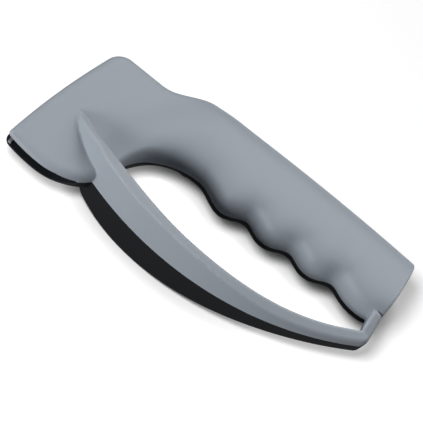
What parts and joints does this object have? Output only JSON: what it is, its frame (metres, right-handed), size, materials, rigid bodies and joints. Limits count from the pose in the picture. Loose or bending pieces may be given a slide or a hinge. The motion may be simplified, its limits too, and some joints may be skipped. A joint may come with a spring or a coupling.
{
  "type": "pull-through knife sharpener",
  "caption": "Hand-held pull-through knife sharpener: a grey and black grip with finger hollows, a full finger guard and a crossed carbide V in a slotted flat head.",
  "frame": {"origin": "under the middle of the whole part's box, on the surface that its black back rests on", "axes": "+X from the cutting head to the butt, +Y from the finger guard to the spine, +Z from the black back to the grey roof"},
  "size_m": [0.1514, 0.0702, 0.0316],
  "materials": {
    "upper_housing": "fine satin texture, mid grey",
    "lower_housing": "fine satin texture, black",
    "carbide": "ground, light grey",
    "carrier": "plain, dark grey",
    "screw_steel": "zinc plated"
  },
  "bodies": {
    "root": {"upper_housing": "upper_housing", "lower_housing": "lower_housing", "front_carbide": "carbide", "rear_carbide": "carbide", "carbide_carrier": "carrier", "carrier_screw": "screw_steel", "housing_screws": "screw_steel"}
  },
  "joints": []
}
